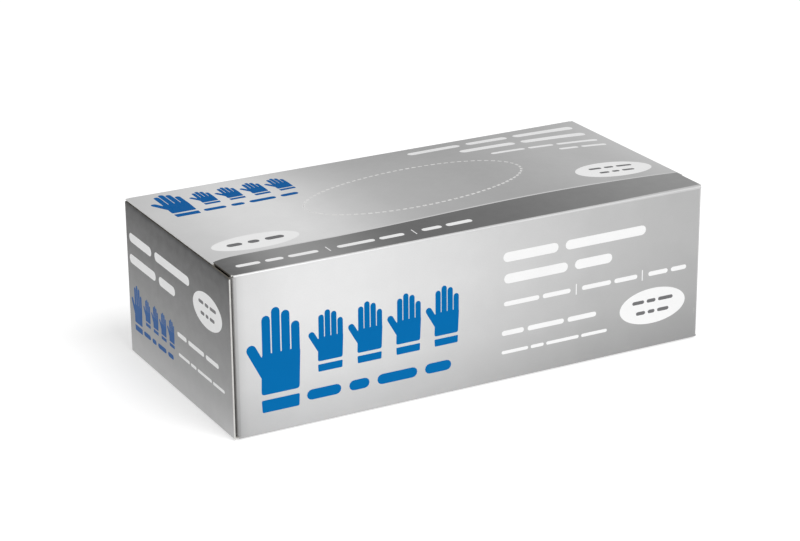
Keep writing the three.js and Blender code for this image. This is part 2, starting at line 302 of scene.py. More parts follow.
def board(
    name,
    shape,
    outline,
    materials,
    art=(),
    holes=(),
    grid=(),
    inside_art=(),
    thickness=BOARD,
    in_shadow=lambda place: False,
):
    """A piece of board folded to its shape. Materials maps an ink's name to a material: "face" is
    the printed side, "inside" the other one and "edge" the cut all round, with a darker edge as a
    painted shadow where the cut lies in shade under another board. Art is a list of (flat shape,
    ink) printed on the face in that order."""
    shapes = [drawn for drawn, _ in art] + [drawn for drawn, _ in inside_art]
    lines = shape.bend_lines()
    flat, triangles, within = triangulate(outline, holes, shapes, lines, grid)
    outside, facing = shape.place(flat)
    under = outside - facing * thickness
    inks = sorted(materials)
    ink_number = {ink: i for i, ink in enumerate(inks)}
    count = len(flat)

    faces, slots, normals, pattern = [], [], [], []

    def add_face(corners, ink, directions):
        faces.append(corners)
        slots.append(ink_number[ink])
        normals.extend(directions)
        pattern.extend(flat[c % count] for c in corners)

    border = {}
    for triangle, found in zip(triangles, within):
        front = [i for i in found if i < len(art)]
        back = [i for i in found if i >= len(art)]
        ink = art[max(front)][1] if front else "face"
        inner_ink = inside_art[max(back) - len(art)][1] if back else "inside"
        add_face(triangle, ink, [facing[c] for c in triangle])
        turned = triangle[::-1]
        add_face([c + count for c in turned], inner_ink, [-facing[c] for c in turned])
        for a, b in zip(triangle, triangle[1:] + triangle[:1]):
            if (b, a) in border:
                del border[(b, a)]
            else:
                border[(a, b)] = True
    for a, b in border:
        corners = [a, a + count, b + count, b]
        along = outside[b] - outside[a]
        side = np.cross(along, facing[a] + facing[b])
        side /= np.linalg.norm(side) + 1e-12
        # A cut edge that lies in shade under another board is given the dark edge material: a painted
        # shadow.
        dark = in_shadow((flat[a] + flat[b]) / 2)
        add_face(corners, "dark_edge" if dark else "edge", [side] * 4)

    mesh = bpy.data.meshes.new(name)
    mesh.from_pydata((np.vstack([outside, under]) * MM).tolist(), [], faces)
    for ink in inks:
        mesh.materials.append(materials[ink])
    mesh.polygons.foreach_set("material_index", slots)
    mesh.polygons.foreach_set("use_smooth", [True] * len(faces))
    layer = mesh.uv_layers.new(name="pattern")
    layer.data.foreach_set("uv", np.array(pattern, np.float32).ravel())
    mesh.normals_split_custom_set(np.array(normals, np.float32).tolist())
    mesh.update()
    return placed(name, mesh)


# ---- materials ----


def set_inputs(tree, node, inputs):
    """Gives a shader node its inputs, each a plain value or another node's output socket."""
    for key, value in inputs.items():
        if isinstance(value, bpy.types.NodeSocket):
            tree.links.new(value, node.inputs[key])
        else:
            node.inputs[key].default_value = value


def add_node(tree, kind, inputs, **settings):
    made = tree.nodes.new(kind)
    for key, value in settings.items():
        setattr(made, key, value)
    set_inputs(tree, made, inputs)
    return made


def grey(level):
    return (level, level, level, 1)


def new_material(name):
    material = bpy.data.materials.new(name)
    material.use_nodes = True
    return material, material.node_tree, material.node_tree.nodes["Principled BSDF"]


def multiply(tree, first, second):
    inputs = {"Factor": 1, "A": first, "B": second}
    made = add_node(tree, "ShaderNodeMix", inputs, data_type="RGBA", blend_type="MULTIPLY")
    return made.outputs["Result"]


def mixed(tree, factor, first, second):
    """A colour between two, each a socket or a plain colour."""
    inputs = {"Factor": factor, "A": first, "B": second}
    return add_node(tree, "ShaderNodeMix", inputs, data_type="RGBA").outputs["Result"]


def ramp(tree, factor, stops):
    """A smooth curve of greys, through (place from 0 to 1, level) stops."""
    made = add_node(tree, "ShaderNodeValToRGB", {"Fac": factor})
    curve = made.color_ramp
    curve.interpolation = "CARDINAL"
    curve.elements[1].position = 1
    curve.elements[1].color = grey(stops[-1][1])
    curve.elements[0].position = 0
    curve.elements[0].color = grey(stops[0][1])
    for place, level in stops[1:-1]:
        curve.elements.new(place).color = grey(level)
    return made.outputs["Color"]


def fit_range(tree, value, low, high, to_low=0.0, to_high=1.0):
    inputs = {"Value": value, "From Min": low, "From Max": high, "To Min": to_low, "To Max": to_high}
    return add_node(tree, "ShaderNodeMapRange", inputs).outputs["Result"]


def noise_value(tree, place, size, detail=3.0, roughness=0.55):
    """Cloudy noise whose blotches are about this many millimetres across."""
    inputs = {"Vector": place, "Scale": 1 / size, "Detail": detail, "Roughness": roughness}
    return add_node(tree, "ShaderNodeTexNoise", inputs).outputs["Fac"]


def arithmetic(tree, operation, first, second=0.0):
    made = add_node(tree, "ShaderNodeMath", {0: first, 1: second}, operation=operation)
    return made.outputs["Value"]


def pattern_place(tree):
    """Each point's place on the flat pattern, in millimetres."""
    return add_node(tree, "ShaderNodeUVMap", {}, uv_map="pattern").outputs["UV"]


def bumped(tree, height, strength, depth, over=None):
    """A surface raised by up to this depth in metres, over another such surface if one is given."""
    inputs = {"Height": height, "Strength": strength, "Distance": depth}
    if over:
        inputs["Normal"] = over
    return add_node(tree, "ShaderNodeBump", inputs).outputs["Normal"]


RAW_WHITE = (0.78, 0.77, 0.74, 1)


def worn(tree, colour, place, across, up, panel):
    """The colour with its ink rubbed and cracked to raw board along the panel's folds and edges."""
    half, low, high = panel
    reach = 1.2
    from_end = arithmetic(tree, "SUBTRACT", half, arithmetic(tree, "ABSOLUTE", across))
    from_low = arithmetic(tree, "SUBTRACT", up, low)
    from_high = arithmetic(tree, "SUBTRACT", high, up)
    nearest = arithmetic(tree, "MINIMUM", from_end, arithmetic(tree, "MINIMUM", from_low, from_high))
    near = fit_range(tree, nearest, reach, 0.0)
    crack = noise_value(tree, place, 0.45, 4.0, 0.7)
    patch = noise_value(tree, place, 9.0, 2.0)
    level = arithmetic(tree, "MULTIPLY", near, fit_range(tree, patch, 0.48, 0.75))
    rubbed = arithmetic(tree, "ADD", crack, arithmetic(tree, "MULTIPLY", level, 0.26))
    return mixed(tree, fit_range(tree, rubbed, 0.74, 0.86), colour, RAW_WHITE)


def ink(name, colour=None, shading=None, panel=None, metallic=0.0, roughness=0.42, specular=0.5):
    """Printed board. The colour is one plain colour, or shading(tree, across, up) draws it. The
    varnish is faintly mottled and has the fine grain of the board under it."""
    material, tree, shader = new_material(name)
    place = pattern_place(tree)
    axes = add_node(tree, "ShaderNodeSeparateXYZ", {"Vector": place})
    across, up = axes.outputs["X"], axes.outputs["Y"]
    cloud = noise_value(tree, place, 14.0, 4.0)
    speckle = noise_value(tree, place, 0.6, 2.0)
    mottled = fit_range(tree, cloud, 0.3, 0.7, 0.965, 1.0)
    grained = fit_range(tree, speckle, 0.3, 0.7, 0.97, 1.0)
    tone = arithmetic(tree, "MULTIPLY", mottled, grained)
    if shading:
        drawn = multiply(tree, shading(tree, across, up), tone)
    else:
        dark = tuple(c * 0.94 for c in colour[:3]) + (1,)
        drawn = mixed(tree, fit_range(tree, tone, 0.935, 1.0), dark, (*colour[:3], 1))
    if panel:
        drawn = worn(tree, drawn, place, across, up, panel)
    smear = noise_value(tree, place, 5.0, 5.0)
    rough = fit_range(tree, smear, 0.3, 0.7, roughness - 0.06, roughness + 0.06)
    grain = bumped(tree, speckle, 0.25, 0.02 * MM)
    normal = bumped(tree, noise_value(tree, place, 28.0, 2.0), 0.35, 0.9 * MM, grain)
    set_inputs(tree, shader, {"Base Color": drawn, "Roughness": rough, "Normal": normal})
    set_inputs(tree, shader, {"Metallic": metallic, "Specular IOR Level": specular})
    return material


def raw_board(name, light, dark, roughness=0.9):
    """Unprinted paperboard, with the fibres and flecks of its pulp."""
    material, tree, shader = new_material(name)
    place = pattern_place(tree)
    cloud = noise_value(tree, place, 6.0, 6.0, 0.65)
    stretched = add_node(tree, "ShaderNodeMapping", {"Vector": place, "Scale": (1, 7, 1)})
    fibre = noise_value(tree, stretched.outputs["Vector"], 2.4, 5.0, 0.7)
    fleck = noise_value(tree, place, 0.7, 2.0)
    pulp = arithmetic(tree, "MULTIPLY", arithmetic(tree, "ADD", cloud, fibre), 0.5)
    colour = mixed(tree, fit_range(tree, pulp, 0.35, 0.65), dark, light)
    spot = fit_range(tree, fleck, 0.7, 0.76)
    colour = mixed(tree, spot, colour, tuple(c * 0.72 for c in dark[:3]) + (1,))
    normal = bumped(tree, fibre, 0.5, 0.08 * MM)
    set_inputs(tree, shader, {"Base Color": colour, "Roughness": roughness, "Normal": normal})
    set_inputs(tree, shader, {"Specular IOR Level": 0.25})
    return material


def glue(name):
    """Hot-melt glue, pressed into a thin glossy film with small bubbles in it."""
    material, tree, shader = new_material(name)
    place = pattern_place(tree)
    bubble = noise_value(tree, place, 1.1, 3.0)
    smear = noise_value(tree, place, 7.0, 4.0)
    colour = mixed(tree, fit_range(tree, smear, 0.35, 0.65), (0.72, 0.6, 0.33, 1), (0.86, 0.79, 0.55, 1))
    rough = fit_range(tree, bubble, 0.3, 0.7, 0.22, 0.4)
    normal = bumped(tree, bubble, 0.5, 0.15 * MM)
    set_inputs(tree, shader, {"Base Color": colour, "Roughness": rough, "Normal": normal})
    return material


def film(name):
    """Black nitrile: a satin skin with a fine pebbled texture and small wrinkles."""
    material, tree, shader = new_material(name)
    place = pattern_place(tree)
    pebble = add_node(tree, "ShaderNodeTexVoronoi", {"Vector": place, "Scale": 1.1}).outputs["Distance"]
    cloud = noise_value(tree, place, 26.0, 4.0)
    dark, light = (0.01, 0.0105, 0.012, 1), (0.026, 0.027, 0.03, 1)
    colour = mixed(tree, fit_range(tree, cloud, 0.3, 0.7), dark, light)
    rough = fit_range(tree, cloud, 0.3, 0.7, 0.5, 0.38)
    pebbled = bumped(tree, pebble, 0.3, 0.06 * MM)
    crease = arithmetic(tree, "SUBTRACT", noise_value(tree, place, 13.0, 3.0, 0.5), 0.5)
    wrinkle = fit_range(tree, arithmetic(tree, "ABSOLUTE", crease), 0.0, 0.07, 1.0, 0.0)
    normal = bumped(tree, wrinkle, 0.4, 0.9 * MM, pebbled)
    set_inputs(tree, shader, {"Base Color": colour, "Roughness": rough, "Normal": normal})
    return material


# The silver print of a panel is brighter in some places than in others, partly in the print itself
# and partly as painted light and shade: a painted sheen along the panels, painted shade at the walls'
# left corner and under the lid's bead at the top of each end, and a painted highlight along the front
# fold. Each list runs along the panel from its left end, or down it from its top, as (share of the way,
# level) pairs.
# The first stops paint the shade where the wall turns round its corner fold at the left end.
LONG_SIDE_ACROSS = [
    (0, 0.42), (0.013, 0.58), (0.028, 0.68), (0.08, 0.73), (0.17, 0.765), (0.33, 0.72), (0.5, 0.64),
    (0.71, 0.53), (0.84, 0.48), (1, 0.44),
]
LONG_SIDE_DOWN = [(0, 0.99), (0.05, 0.975), (0.44, 0.885), (0.72, 0.785), (1, 0.62)]
LONG_SIDE_LEVEL = 1.08
LID_ACROSS = [
    (0, 0.65), (0.08, 0.74), (0.17, 0.82), (0.25, 0.79), (0.33, 0.66), (0.42, 0.525), (0.58, 0.45),
    (0.69, 0.445), (0.83, 0.52), (0.915, 0.53), (1, 0.6),
]
LID_DOWN = [(0, 0.92), (0.25, 1.0), (0.54, 1.02), (0.78, 0.97), (1, 0.95)]
# The end's first stops are a painted shadow under the bead of the lid's end crease; below it the end gets
# lighter towards the bottom.
END_DOWN = [
    (0, 0), (0.018, 0.01), (0.03, 0.045), (0.042, 0.074), (0.12, 0.115), (0.3, 0.185), (0.5, 0.26),
    (0.7, 0.335), (0.85, 0.42), (1, 0.56),
]
BAND_ACROSS = [
    (0, 0.1), (0.08, 0.24), (0.17, 0.3), (0.33, 0.155), (0.46, 0.135), (0.67, 0.185), (0.83, 0.25),
    (1, 0.31),
]
# A painted highlight on the silver along the front fold, brightest at the left end.
FOLD_HIGHLIGHT_ACROSS = [(0, 0.7), (0.125, 0.64), (0.25, 0.6), (0.5, 0.59), (1, 0.58)]

SILVER = dict(metallic=0.2, roughness=0.4)


def graded(width, low, high, across_stops, down_stops, level=1.0, turned=False):
    """Shading that follows one curve along a panel and another down it. A turned panel's pattern
    lies on its side, so that its height runs across."""

    def draw(tree, across, up):
        if turned:
            across, up = up, arithmetic(tree, "ABSOLUTE", across)
        share_across = fit_range(tree, across, -width / 2, width / 2)
        share_down = fit_range(tree, up, high, low)
        down = ramp(tree, share_down, [(p, v * level) for p, v in down_stops])
        if not across_stops:
            return down
        along = ramp(tree, share_across, across_stops)
        return multiply(tree, along, down)

    return draw


LENGTH, WIDTH = 2 * END_X, 2 * SIDE_Y
long_side_shading = graded(LENGTH, 0, HEIGHT, LONG_SIDE_ACROSS, LONG_SIDE_DOWN, LONG_SIDE_LEVEL)
lid_shading = graded(LENGTH, -SIDE_Y, SIDE_Y, LID_ACROSS, LID_DOWN)
band_shading = graded(LENGTH, -SIDE_Y, SIDE_Y, BAND_ACROSS, [(0, 1.0), (1, 1.0)])
end_shading = graded(WIDTH, 0, HEIGHT, None, END_DOWN)

RAW_LIGHT, RAW_DARK = (0.8, 0.79, 0.76, 1), (0.7, 0.69, 0.65, 1)
raw_cut = raw_board("raw_cut_edge", (0.66, 0.655, 0.635, 1), (0.54, 0.53, 0.51, 1))
# A near-black brown for cut edges in shade under another board: a painted shadow.
raw_edge_shadow = raw_board("raw_edge_painted_shadow", (0.13, 0.115, 0.095, 1), (0.08, 0.07, 0.058, 1))
raw_knifed = raw_board("raw_knife_cut", (0.86, 0.86, 0.85, 1), (0.74, 0.74, 0.73, 1))
raw_inside = raw_board("raw_inside", RAW_LIGHT, RAW_DARK)
raw_torn = raw_board("raw_torn_fibre", (0.92, 0.91, 0.89, 1), (0.54, 0.5, 0.43, 1))
hot_melt = glue("hot_melt")
white_ink = ink("white_ink", (0.87, 0.87, 0.87))
# One blue ink in three copies, each set for its panel's light: the lid's copy is darker as painted shade,
# and the end's copy is greyed by a painted sheen.
blue_wall = ink("blue_wall", (0.0, 0.14, 0.395), specular=0.03)
blue_lid = ink("blue_lid", (0.0, 0.1, 0.327), specular=0.02)
blue_end = ink("blue_end", (0.037, 0.125, 0.345), specular=0.04)
grey_ink = ink("grey_ink", (0.13, 0.13, 0.135))
rim_ink = ink("rim_ink", (0.62, 0.62, 0.62))

long_panel = (LENGTH / 2 - 3.8, 1.0, HEIGHT - 1.0)
# The dust flaps' printed margin, round the wall's corner, is drawn at about half the wall's level: painted
# shade in the slot beside the outer flap.
margin_shading = graded(LENGTH, 0, HEIGHT, None, LONG_SIDE_DOWN, 0.52, True)
fold_highlight_shading = graded(LENGTH, 0, HEIGHT, FOLD_HIGHLIGHT_ACROSS, [(0, 1.0), (1, 1.0)])
silver_dust_margin = ink("silver_dust_margin", shading=margin_shading, **SILVER)
silver_inner_margin = ink("silver_inner_margin", (0.66, 0.66, 0.66), **SILVER)
silver_long_side = ink("silver_long_side", shading=long_side_shading, panel=long_panel, **SILVER)
silver_lid = ink("silver_lid", shading=lid_shading, panel=(LID_HALF, -CREASE_Y, CREASE_Y), **SILVER)
silver_fold_highlight = ink("silver_fold_highlight", shading=fold_highlight_shading, **SILVER)
end_panel = (SIDE_Y - FLAP_MARGIN, 0, OUTER_TOP)
END_SILVER = dict(metallic=0.1, roughness=0.45, specular=0.25)
silver_end = ink("silver_end", shading=end_shading, panel=end_panel, **END_SILVER)
silver_base = ink("silver_base", (0.5, 0.5, 0.5), panel=(LENGTH / 2 - 1, -SIDE_Y, SIDE_Y), **SILVER)
band_ink = ink("band_ink", shading=band_shading, panel=(LID_HALF, -CREASE_Y, CREASE_Y), **SILVER)

INKS = {"white": white_ink, "grey": grey_ink, "rim": rim_ink, "band": band_ink, "fold": silver_fold_highlight}
RAW = {"inside": raw_inside, "edge": raw_cut, "dark_edge": raw_edge_shadow, "torn": raw_torn, "knife": raw_knifed}


def printed(face, blue=blue_wall):
    """The materials of a printed panel whose ground is this one."""
    return {"face": face, "blue": blue, **INKS, **RAW}


# ---- the artwork, drawn from a panel's top left corner in millimetres across and down ----


def words(left, right, middle, thick, shares, ink_name="white"):
    """A line of plain bars that stands for printed words. Shares are the words' relative lengths."""
    gap = thick * 0.8
    room = right - left - gap * (len(shares) - 1)
    drawn, x = [], left
    for share in shares:
        length = room * share / sum(shares)
        half = thick / 2
        drawn.append((capsule((x + half, middle), (x + length - half, middle), half), ink_name))
        x += length + gap
    return drawn


def divider(x, top, bottom, thick=0.5):
    return [(rectangle(x - thick / 2, x + thick / 2, top, bottom), "white")]


def glove_mark(left, top, width, height):
    """A glove standing on its cuff, thumb to the left."""

    def at(x, y):
        return (left + x * width, top + (1 - y) * height)

    finger = 0.077 * width
    palm = rounded([at(0.26, 0.17), at(0.95, 0.17), at(0.98, 0.56), at(0.28, 0.56)], 0.06 * width)
    cuff = rounded([at(0.27, 0.0), at(0.94, 0.0), at(0.95, 0.12), at(0.26, 0.12)], 0.03 * width)
    drawn = [palm, cuff, capsule(at(0.4, 0.3), at(0.1, 0.62), finger * 1.15)]
    tips = [0.88, 0.945, 0.9, 0.78]
    for i, tip in enumerate(tips):
        x = 0.37 + 0.175 * i
        drawn.append(capsule(at(x, 0.45), at(x, tip), finger))
    return [(shape, "blue") for shape in drawn]


def emblem(left, top, scale):
    """A large glove, a row of four smaller ones, and a line of bars under the row."""
    s = scale
    drawn = glove_mark(left, top, 25 * s, 46 * s)
    for i in range(4):
        drawn += glove_mark(left + (28 + 18.2 * i) * s, top + 6 * s, 16.5 * s, 27 * s)
    return drawn + words(left + 27 * s, left + 95 * s, top + 42.4 * s, 4.6 * s, [5, 3, 6, 4], "blue")


def badge(x, y, half_length, half_width, lines):
    """A white oval that holds short dark lines of print."""
    drawn = [(ellipse((x, y), half_length, half_width), "white")]
    pitch, thick = half_width * 0.62, half_width * 0.4 / len(lines)
    for i, share in enumerate(lines):
        middle = y + (i - (len(lines) - 1) / 2) * pitch
        half = half_length * share
        drawn += words(x - half, x + half, middle, thick, [4, 3, 5], "grey")
    return drawn


def long_side_art():
    # A painted highlight along the wall's top fold, on the silver print that wraps round it.
    drawn = [([(0, 0.2), (LENGTH, 1.3), (LENGTH, -1), (0, -1)], "fold")]
    drawn += [([(0, -0.25), (LENGTH / 2, -0.55), (LENGTH / 2, -1), (0, -1)], "band")]
    drawn += emblem(6.3, 16.8, 1.05)
    drawn += words(132.5, 208, 16, 4.6, [4, 6])
    drawn += words(133, 190, 26.3, 4.6, [5, 3])
    for left, right in ((133, 168), (174, 204), (210, 231)):
        drawn += words(left, right, 38.2, 2.2, [5, 4])
    drawn += divider(171, 35.6, 40.8) + divider(206.7, 35.6, 40.8)
    drawn += words(132, 182, 52.2, 2.4, [3, 5, 4])
    drawn += words(132, 188, 61.5, 1.6, [4, 2, 5, 4])
    return drawn + badge(212.8, 54.2, 18, 8.7, [0.62, 0.5])


def end_art():
    drawn = words(4.4, 72, 17, 4.4, [4, 6])
    drawn += words(3.8, 55.6, 27.4, 4.4, [5, 3])
    drawn += emblem(3.5, 39, 0.5)
    drawn += words(56.4, 100.6, 46.3, 2.2, [3, 5, 4])
    drawn += words(57, 106, 56, 1.5, [4, 2, 5, 4])
    return drawn + badge(90.6, 24.1, 15.2, 8.1, [0.6, 0.48])


def lid_art():
    curve = [(0, 96.7), (2.5, 95.1), (6, 94.0), (10, 93.4), (16, 93.2)]
    shoulder = curve + [(60, 93.9), (120, 93.4), (LENGTH, 93.4)]
    low = [(LENGTH, 112.8), (200, 113.5), (160, 115.2), (110, 115.4), (0, 115.9)]
    rim = [(x, y - 0.9) for x, y in shoulder]
    # A painted highlight on the lid's silver margin next to the front fold, towards the right end.
    fold = rectangle(LENGTH * 0.4, LENGTH, 111, 116)
    drawn = [(fold, "fold"), (shoulder[::-1] + rim, "rim"), (shoulder + low, "band")]
    for left, right, shares in ((7.4, 46.2, [4, 3, 5]), (55.3, 88, [6, 4]), (96.8, 122, [3, 4])):
        drawn += words(left, right, 105.3, 2.9, shares)
    drawn += divider(50.9, 102.6, 108) + divider(92.9, 102.6, 108)
    drawn += emblem(6.3, 4.2, 0.69)
    drawn += words(141, 233, 11, 4.7, [5, 4, 6])
    drawn += words(163, 233, 22.6, 4.7, [5, 6])
    drawn += words(173.5, 233, 34, 2.6, [4, 3, 5])
    drawn += words(206.5, 233, 42, 2.4, [3, 4])
    drawn += badge(28, 81, 20.7, 8.6, [0.66])
    return drawn + badge(213.5, 78.6, 20.3, 9.6, [0.58, 0.47])


def base_art():
    drawn = words(20, 96, 30, 2.6, [5, 4, 6], "grey") + words(20, 82, 37, 2.6, [4, 3, 5], "grey")
    for i in range(6):
        drawn += words(140, 214 - 9 * (i % 3), 26 + 7 * i, 1.6, [4, 6, 3, 5, 4], "grey")
    return drawn


def on_panel(drawn, width, top):
    """Artwork measured from a panel's top left corner, as shapes on its flat pattern."""
    return [([(x - width / 2, top - y) for x, y in shape], ink_name) for shape, ink_name in drawn]


# ---- the perforated oval ----

CUT, TIE = 2.0, 1.2  # a cut through the board, and the board left between two cuts
KERF = 0.22  # width of a cut
TIE_GAP = 0.03  # width of the slit across an unbroken tie


def oval_points(count):
    """Places spread evenly round the oval, as (point, outward direction)."""
    steps = 4000
    angles = np.linspace(0, 2 * math.pi, steps + 1)
    x = OVAL_CENTRE[0] + OVAL_HALF[0] * np.cos(angles)
    y = OVAL_CENTRE[1] + OVAL_HALF[1] * np.sin(angles)
    run = np.concatenate([[0], np.cumsum(np.hypot(np.diff(x), np.diff(y)))])
    wanted = np.linspace(0, run[-1], count, endpoint=False)
    at = np.interp(wanted, run, angles)
    points = []
    for angle in at:
        reach = Vector((OVAL_HALF[0] * math.cos(angle), OVAL_HALF[1] * math.sin(angle)))
        point = Vector(OVAL_CENTRE) + reach
        outward = Vector((math.cos(angle) / OVAL_HALF[0], math.sin(angle) / OVAL_HALF[1])).normalized()
        points.append((point, outward))
    return points, run[-1]


_, oval_run = oval_points(8)
CUTS = round(oval_run / (CUT + TIE))
STEPS_PER_CUT = 10  # steps round the oval for one cut and one tie
cut_steps = round(STEPS_PER_CUT * CUT / (CUT + TIE))
oval_places, _ = oval_points(CUTS * STEPS_PER_CUT)


def oval_edge(side):
    """The edge that the perforation leaves: side +1 on the lid and -1 on the oval."""
    edge = []
    for i, (point, outward) in enumerate(oval_places):
        in_cut = 0 < i % STEPS_PER_CUT < cut_steps
        gap = KERF if in_cut else TIE_GAP
        edge.append(tuple(point + outward * side * gap / 2))
    return edge


def cut_marks():
    """The raw board that shows along each cut, where the knife has broken the print."""
    rng = random.Random(7)
    marks = []
    for n in range(CUTS):
        first, last = n * STEPS_PER_CUT, n * STEPS_PER_CUT + cut_steps
        half = rng.uniform(0.45, 0.6)
        outer = [oval_places[i][0] + oval_places[i][1] * half for i in range(first, last + 1)]
        inner = [oval_places[i][0] - oval_places[i][1] * half for i in range(last, first - 1, -1)]
        marks.append(([tuple(p) for p in outer + inner], "knife"))
    return marks


def inside_shape(x, y, half_length, half_width):
    return ((x - OVAL_CENTRE[0]) / half_length) ** 2 + ((y - OVAL_CENTRE[1]) / half_width) ** 2 < 1


LID_CELL = 4.0  # a piece of the lid this long is near enough to straight


def lid_grid(within_oval):
    """Inner points that let the flat pattern follow the lid's swelling."""
    half_length, half_width, clear = 114, 54, 1.2
    side = -1 if within_oval else 1
    points = []
    for x in np.arange(-half_length, half_length + 1, LID_CELL):
        for y in np.arange(-half_width, half_width + 1, LID_CELL):
            inside = inside_shape(x, y, OVAL_HALF[0] + clear * side, OVAL_HALF[1] + clear * side)
            if inside == within_oval:
                points.append((x, y))
    return points


# ---- the carton's boards ----


def fixed(piece, node, body="carton"):
    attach(piece, body)
    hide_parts(node)


def hinged(piece, node):
    """A flap's mesh, kept in the place it was built in, with the CAD node it stands for hidden."""
    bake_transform(piece)
    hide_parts(node)


def make_lid():
    """The lid is creased to its end flaps behind the shoulder. In front of it the lid has no flap,
    and is cut a little short of the ends."""
    crease_x, left_x, right_x = END_X - CREASE, END_X - 1.3, END_X - 1.4
    relief_y = SHOULDER_Y - 0.8
    right = [(crease_x, SHOULDER_Y), (crease_x, CREASE_Y)]
    left = [(-x, y) for x, y in right[::-1]]
    front = [(-left_x, relief_y), (-left_x, -CREASE_Y), (right_x, -CREASE_Y), (right_x, relief_y)]
    art = [(stepped(drawn, LID_CELL), name) for drawn, name in on_panel(lid_art(), LENGTH, SIDE_Y)]
    art += cut_marks()
    materials = printed(silver_lid, blue_lid)
    shape = Swollen()
    lid = board(
        "lid_board",
        shape,
        right + left + front,
        materials,
        art,
        holes=[oval_edge(1)],
        grid=lid_grid(False),
        # The lid's cut edge at the left end, in front of the shoulder, gets the dark edge: a painted
        # shadow in the gap there.
        in_shadow=lambda place: place[0] < 1 - left_x and place[1] < SHOULDER_Y,
    )
    fixed(lid, "top_panel")
    oval = board("tear_out_board", shape, oval_edge(-1), materials, art, (), lid_grid(True))
    fixed(oval, "tear_out_oval", body="tear_out")


def wall_outline(shape):
    """A wall ends at its dust flaps' creases. It runs on a little above and below them, where it is
    trimmed off at an angle."""
    crease, tab, chamfer, slit = END_X - DUST_DEPTH - DUST_CREASE, 1.0, 1.3, 0.15
    low, high = DUST_LOW, DUST_HIGH
    start, stop = shape.start(), shape.end()
    right = [
        (crease + tab - chamfer, start),
        (crease + tab, start + chamfer * 0.8),
        (crease + tab, low - slit),
        (crease, low),
        (crease, high),
        (crease + tab, high + slit),
        (crease + tab, stop - chamfer / 4),
        (crease + tab - chamfer / 4, stop),
    ]
    return right + [(-x, y) for x, y in right[::-1]]


def make_walls():
    materials = printed(silver_long_side)
    art = on_panel(long_side_art(), LENGTH, HEIGHT)
    front = Folded((0, -SIDE_Y, 0), BACK, UP, 0, FOLD_RADIUS, HEIGHT, FOLD_RADIUS)
    piece = board("front_board", front, wall_outline(front), materials, art)
    fixed(piece, "front_panel")
    back = Folded((0, SIDE_Y, 0), -BACK, UP, PLY, FOLD_RADIUS, HEIGHT, FOLD_RADIUS)
    piece = board("back_board", back, wall_outline(back), materials, art)
    fixed(piece, "back_panel")


def make_base():
    base = Folded((0, 0, 0), UP, BACK)
    end = END_X - CREASE
    corners = [(-end, -CREASE_Y), (end, -CREASE_Y), (end, SIDE_Y - 0.3), (-end, SIDE_Y - 0.3)]
    art = on_panel(base_art(), LENGTH, SIDE_Y)
    piece = board("bottom_board", base, rounded(corners, [3, 3, 1.5, 1.5]), printed(silver_base), art)
    fixed(piece, "bottom_panel")

    flap_low, flap_high = corners_of("seam_flap")
    seam = Folded((0, 0, PLY), UP, BACK)
    slant = 3
    corners = [
        (-flap_high.x + slant, flap_low.y),
        (flap_high.x - slant, flap_low.y),
        (flap_high.x, CREASE_Y),
        (-flap_high.x, CREASE_Y),
    ]
    piece = board("seam_board", seam, rounded(corners, [2, 2, 0, 0]), printed(raw_inside))
    fixed(piece, "seam_flap")


def wavy_strip(half_length, half_width, seed):
    """The edge of a squeezed line of glue."""
    rng = random.Random(seed)
    count = 26
    step = 2 * half_length / count

    def edge(direction):
        """One long edge, wavy by up to a fifth of the half width."""
        return [
            ((-half_length + step * i) * direction, -half_width * direction * rng.uniform(0.78, 1))
            for i in range(1, count)
        ]

    low, high = edge(1), edge(-1)
    end = half_length * 0.997
    return rounded([(-end, 0), *low, (end, 0), *high], step * 0.4, 3)


def glue_outline(node, side):
    """A strip of glue on an end, drawn on the outer flap's pattern."""
    low, high = corners_of(node)
    strip = wavy_strip((high.y - low.y) / 2, (high.z - low.z) / 2, node)
    middle_y, middle_z = (low.y + high.y) / 2, (low.z + high.z) / 2
    return [(x + middle_y * side, z + middle_z) for x, z in strip]


def make_glue():
    materials = {"face": hot_melt, "inside": hot_melt, "edge": hot_melt}
    for name, side in (("left", -1), ("right", 1)):
        for level in ("upper", "lower"):
            node = f"{name}_{level}_glue"
            low, high = corners_of(node)
            outside = Folded((max(abs(low.x), abs(high.x)) * side, 0, 0), OUT * -side, UP)
            strip = glue_outline(node, side)
            piece = board(f"{name}_{level}_strip", outside, strip, materials, thickness=high.x - low.x)
            fixed(piece, node, body=f"{name}_inner")
    low, high = corners_of("seam_glue")
    strip = wavy_strip((high.x - low.x) / 2, (high.y - low.y) / 2, "seam")
    strip = [(x, y + (low.y + high.y) / 2) for x, y in strip]
    seam = Folded((0, 0, low.z), UP, BACK)
    piece = board("seam_strip", seam, strip, materials, thickness=high.z - low.z)
    fixed(piece, "seam_glue")


def make_outer_flap(name, side):
    node = f"{name}_outer_flap"
    low, high = corners_of(node)
    outer = Folded((side * END_X, 0, 0), OUT * -side, UP, 0, CREASE)
    low.y += TUCKED if side > 0 else -FLUSH
    left, right = sorted((low.y * side, high.y * side))
    corners = [(left, outer.start()), (right, outer.start()), (right, OUTER_TOP), (left, OUTER_TOP)]
    art = on_panel(end_art(), WIDTH, HEIGHT)
    torn = [(glue_outline(f"{name}_{level}_glue", side), "torn") for level in ("upper", "lower")]
    piece = board(
        f"{name}_outer_board",
        outer,
        rounded(corners, [0, 0, 0.5, 0.5]),
        printed(silver_end, blue_end),
        art,
        inside_art=torn,
        # The flap's top cut edge, under the bead of the lid's crease, gets the dark edge: a painted
        # shadow.
        in_shadow=lambda place: place[1] > OUTER_TOP - 0.8,
    )
    hinged(piece, node)


